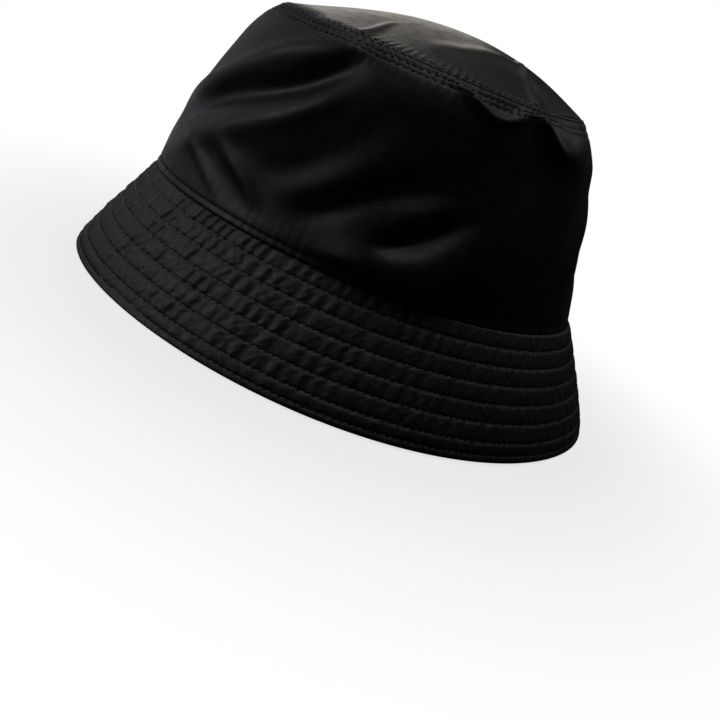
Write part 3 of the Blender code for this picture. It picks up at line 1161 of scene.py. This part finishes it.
# levels are for the studio's lit side and dark side; a lamp is its name, direction, distance, size,
# power and colour
light = {
    "floorSize": 0.6,
    "floorHeight": -0.0011,
    "floorColour": (0.70, 0.70, 0.70),
    "shadowShare": 0.26,  # how much of the floor's own shade shows near the hat
    "shadowReach": (0.10, 0.26),
    "worldLevel": 0.25,
    "brightLevel": 0.46,
    "floorLevel": 0.7,
    "darkLevel": 0.004,
    "brightSide": (-0.40, -0.82, 0.30),
    "brightColour": (0.90, 0.90, 1.0),
    "sideFade": (0.33, 1.0),
    "floorFade": (0.15, 0.60),
    "lamps": [
        ("key", (0.15, -0.90, 0.42), 1.1, 0.60, 2.6, (0.95, 0.97, 1.0)),
        ("top", (0.0, 0.0, 1.0), 1.1, 0.80, 4.1, (1.0, 0.98, 0.96)),
        ("rim", (-0.86, -0.02, 0.42), 1.1, 0.50, 1.6, (1.0, 0.94, 0.85)),
        ("back", (-0.34, 0.64, 0.69), 1.1, 0.60, 0.9, (1.0, 0.95, 0.88)),
    ],
}


def seenDirectly(tree, rays):
    return calculate(tree, "MAXIMUM", rays["Is Camera Ray"], rays["Is Transmission Ray"])


# how brightly a surface shows: 1 where it is seen directly, and the lit side's level in reflections
def studioLevel(tree, rays, lit):
    glossy = calculate(tree, "MULTIPLY", rays["Is Glossy Ray"], lit)
    return calculate(tree, "MAXIMUM", seenDirectly(tree, rays), glossy)


# the level of the studio by direction: its lit side fades smoothly into its dark side
def litSide(tree, place, fade, level):
    side = addNode(
        tree, "ShaderNodeVectorMath",
        {0: place, 1: Vector(light["brightSide"]).normalized()}, operation="DOT_PRODUCT",
    )
    levels = (light["darkLevel"], light[level])
    return remap(tree, side.outputs["Value"], light[fade], levels, "SMOOTHSTEP")


# plain white to the camera, except that the hat's shadow darkens it a little close by
def makeFloor():
    half = light["floorSize"]
    low = light["floorHeight"]
    mesh = bpy.data.meshes.new("floor")
    corners = [(-half, -half, low), (half, -half, low), (half, half, low), (-half, half, low)]
    mesh.from_pydata(corners, [], [(0, 1, 2, 3)])
    floor = bpy.data.objects.new("floor", mesh)
    scene.collection.objects.link(floor)
    material, tree = newMaterial("floor")[:2]
    tree.nodes.clear()
    place = addNode(tree, "ShaderNodeTexCoord").outputs["Object"]
    lit = addNode(tree, "ShaderNodeBsdfDiffuse", {"Color": (*light["floorColour"], 1)})
    rays = addNode(tree, "ShaderNodeLightPath").outputs
    level = studioLevel(tree, rays, litSide(tree, place, "floorFade", "floorLevel"))
    white = addNode(tree, "ShaderNodeEmission", {"Color": (1, 1, 1, 1), "Strength": level})
    away = addNode(tree, "ShaderNodeVectorMath", {0: place}, operation="LENGTH")
    shade = (1 - light["shadowShare"], 1.0)
    plain = remap(tree, away.outputs["Value"], light["shadowReach"], shade, "SMOOTHSTEP")
    share = calculate(tree, "MULTIPLY", seenDirectly(tree, rays), plain)
    share = calculate(tree, "MAXIMUM", share, rays["Is Glossy Ray"])
    both = addNode(tree, "ShaderNodeMixShader", {0: share, 1: lit, 2: white})
    out = addNode(tree, "ShaderNodeOutputMaterial")
    tree.links.new(both.outputs[0], out.inputs["Surface"])
    mesh.materials.append(material)


# the studio is bright on one side and dark on the other; what the camera sees of it is plain white
def makeWorld():
    world = bpy.data.worlds.new("studio")
    world.use_nodes = True
    scene.world = world
    tree = world.node_tree
    tree.nodes.clear()
    place = addNode(tree, "ShaderNodeTexCoord").outputs["Generated"]
    lit = litSide(tree, place, "sideFade", "brightLevel")
    rays = addNode(tree, "ShaderNodeLightPath").outputs
    softer = calculate(tree, "MULTIPLY", lit, light["worldLevel"])
    strength = calculate(tree, "MAXIMUM", studioLevel(tree, rays, lit), softer)
    colour = blend(tree, rays["Is Camera Ray"], light["brightColour"], (1, 1, 1))
    sky = addNode(tree, "ShaderNodeBackground", {"Color": colour, "Strength": strength})
    out = addNode(tree, "ShaderNodeOutputWorld")
    tree.links.new(sky.outputs[0], out.inputs["Surface"])


def makeLamps():
    middle = Vector((0, 0, 0.06))
    for name, direction, away, size, power, colour in light["lamps"]:
        lamp = bpy.data.lights.new(name, "AREA")
        lamp.size = size
        lamp.energy = power
        lamp.color = colour
        holder = bpy.data.objects.new(name, lamp)
        towards = Vector(direction).normalized()
        holder.location = middle + towards * away
        holder.rotation_euler = towards.to_track_quat("Z", "Y").to_euler()
        scene.collection.objects.link(holder)


makeFloor()
makeWorld()
makeLamps()
print("lights set")
